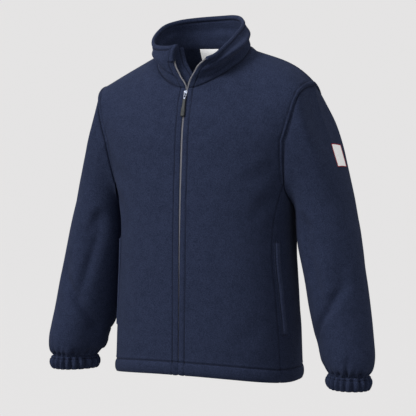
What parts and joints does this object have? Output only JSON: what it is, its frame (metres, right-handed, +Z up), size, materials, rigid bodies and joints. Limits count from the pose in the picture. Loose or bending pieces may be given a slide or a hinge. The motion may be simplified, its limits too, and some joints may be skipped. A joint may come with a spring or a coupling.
{
  "type": "fleece jacket",
  "caption": "Full-zip fleece jacket with a stand collar, gathered elasticated cuffs, a turned hem and welted side pockets, filled out as worn.",
  "frame": {"origin": "where the wearer's neck and shoulders hold it: on the middle plane, inside the neck, level with the top of the shoulder seams", "axes": "+Z up, -Y the way the wearer faces, so the zip is on the -Y side, +X to the wearer's left"},
  "size_m": [0.7764, 0.3042, 0.7972],
  "materials": {
    "fleece": "napped navy polyester fleece",
    "zip": "grey nylon coil on woven tape",
    "nickel": "plated die-cast metal",
    "rubber": "dark moulded rubber",
    "white": "woven white tape"
  },
  "bodies": {
    "jacket": {"front_left": "fleece", "front_right": "fleece", "back": "fleece", "collar": "fleece", "sleeve_left": "fleece", "sleeve_right": "fleece", "cuff_left": "fleece", "cuff_right": "fleece", "zip_left": "zip", "zip_right": "zip", "zip_guard": "fleece", "chin_guard": "fleece", "slider": "nickel", "welt_left": "fleece", "welt_right": "fleece", "neck_label": "white", "sleeve_badge": "white"},
    "pull": {"pull_tab": "nickel", "pull_grip": "rubber"}
  },
  "joints": [
    {"name": "pull_hinge", "type": "hinge", "parent": "jacket", "child": "pull", "pos_m": [0, -0.12082, -0.10916], "axis": [-1, 0, 0], "range_deg": [0, 140]}
  ]
}
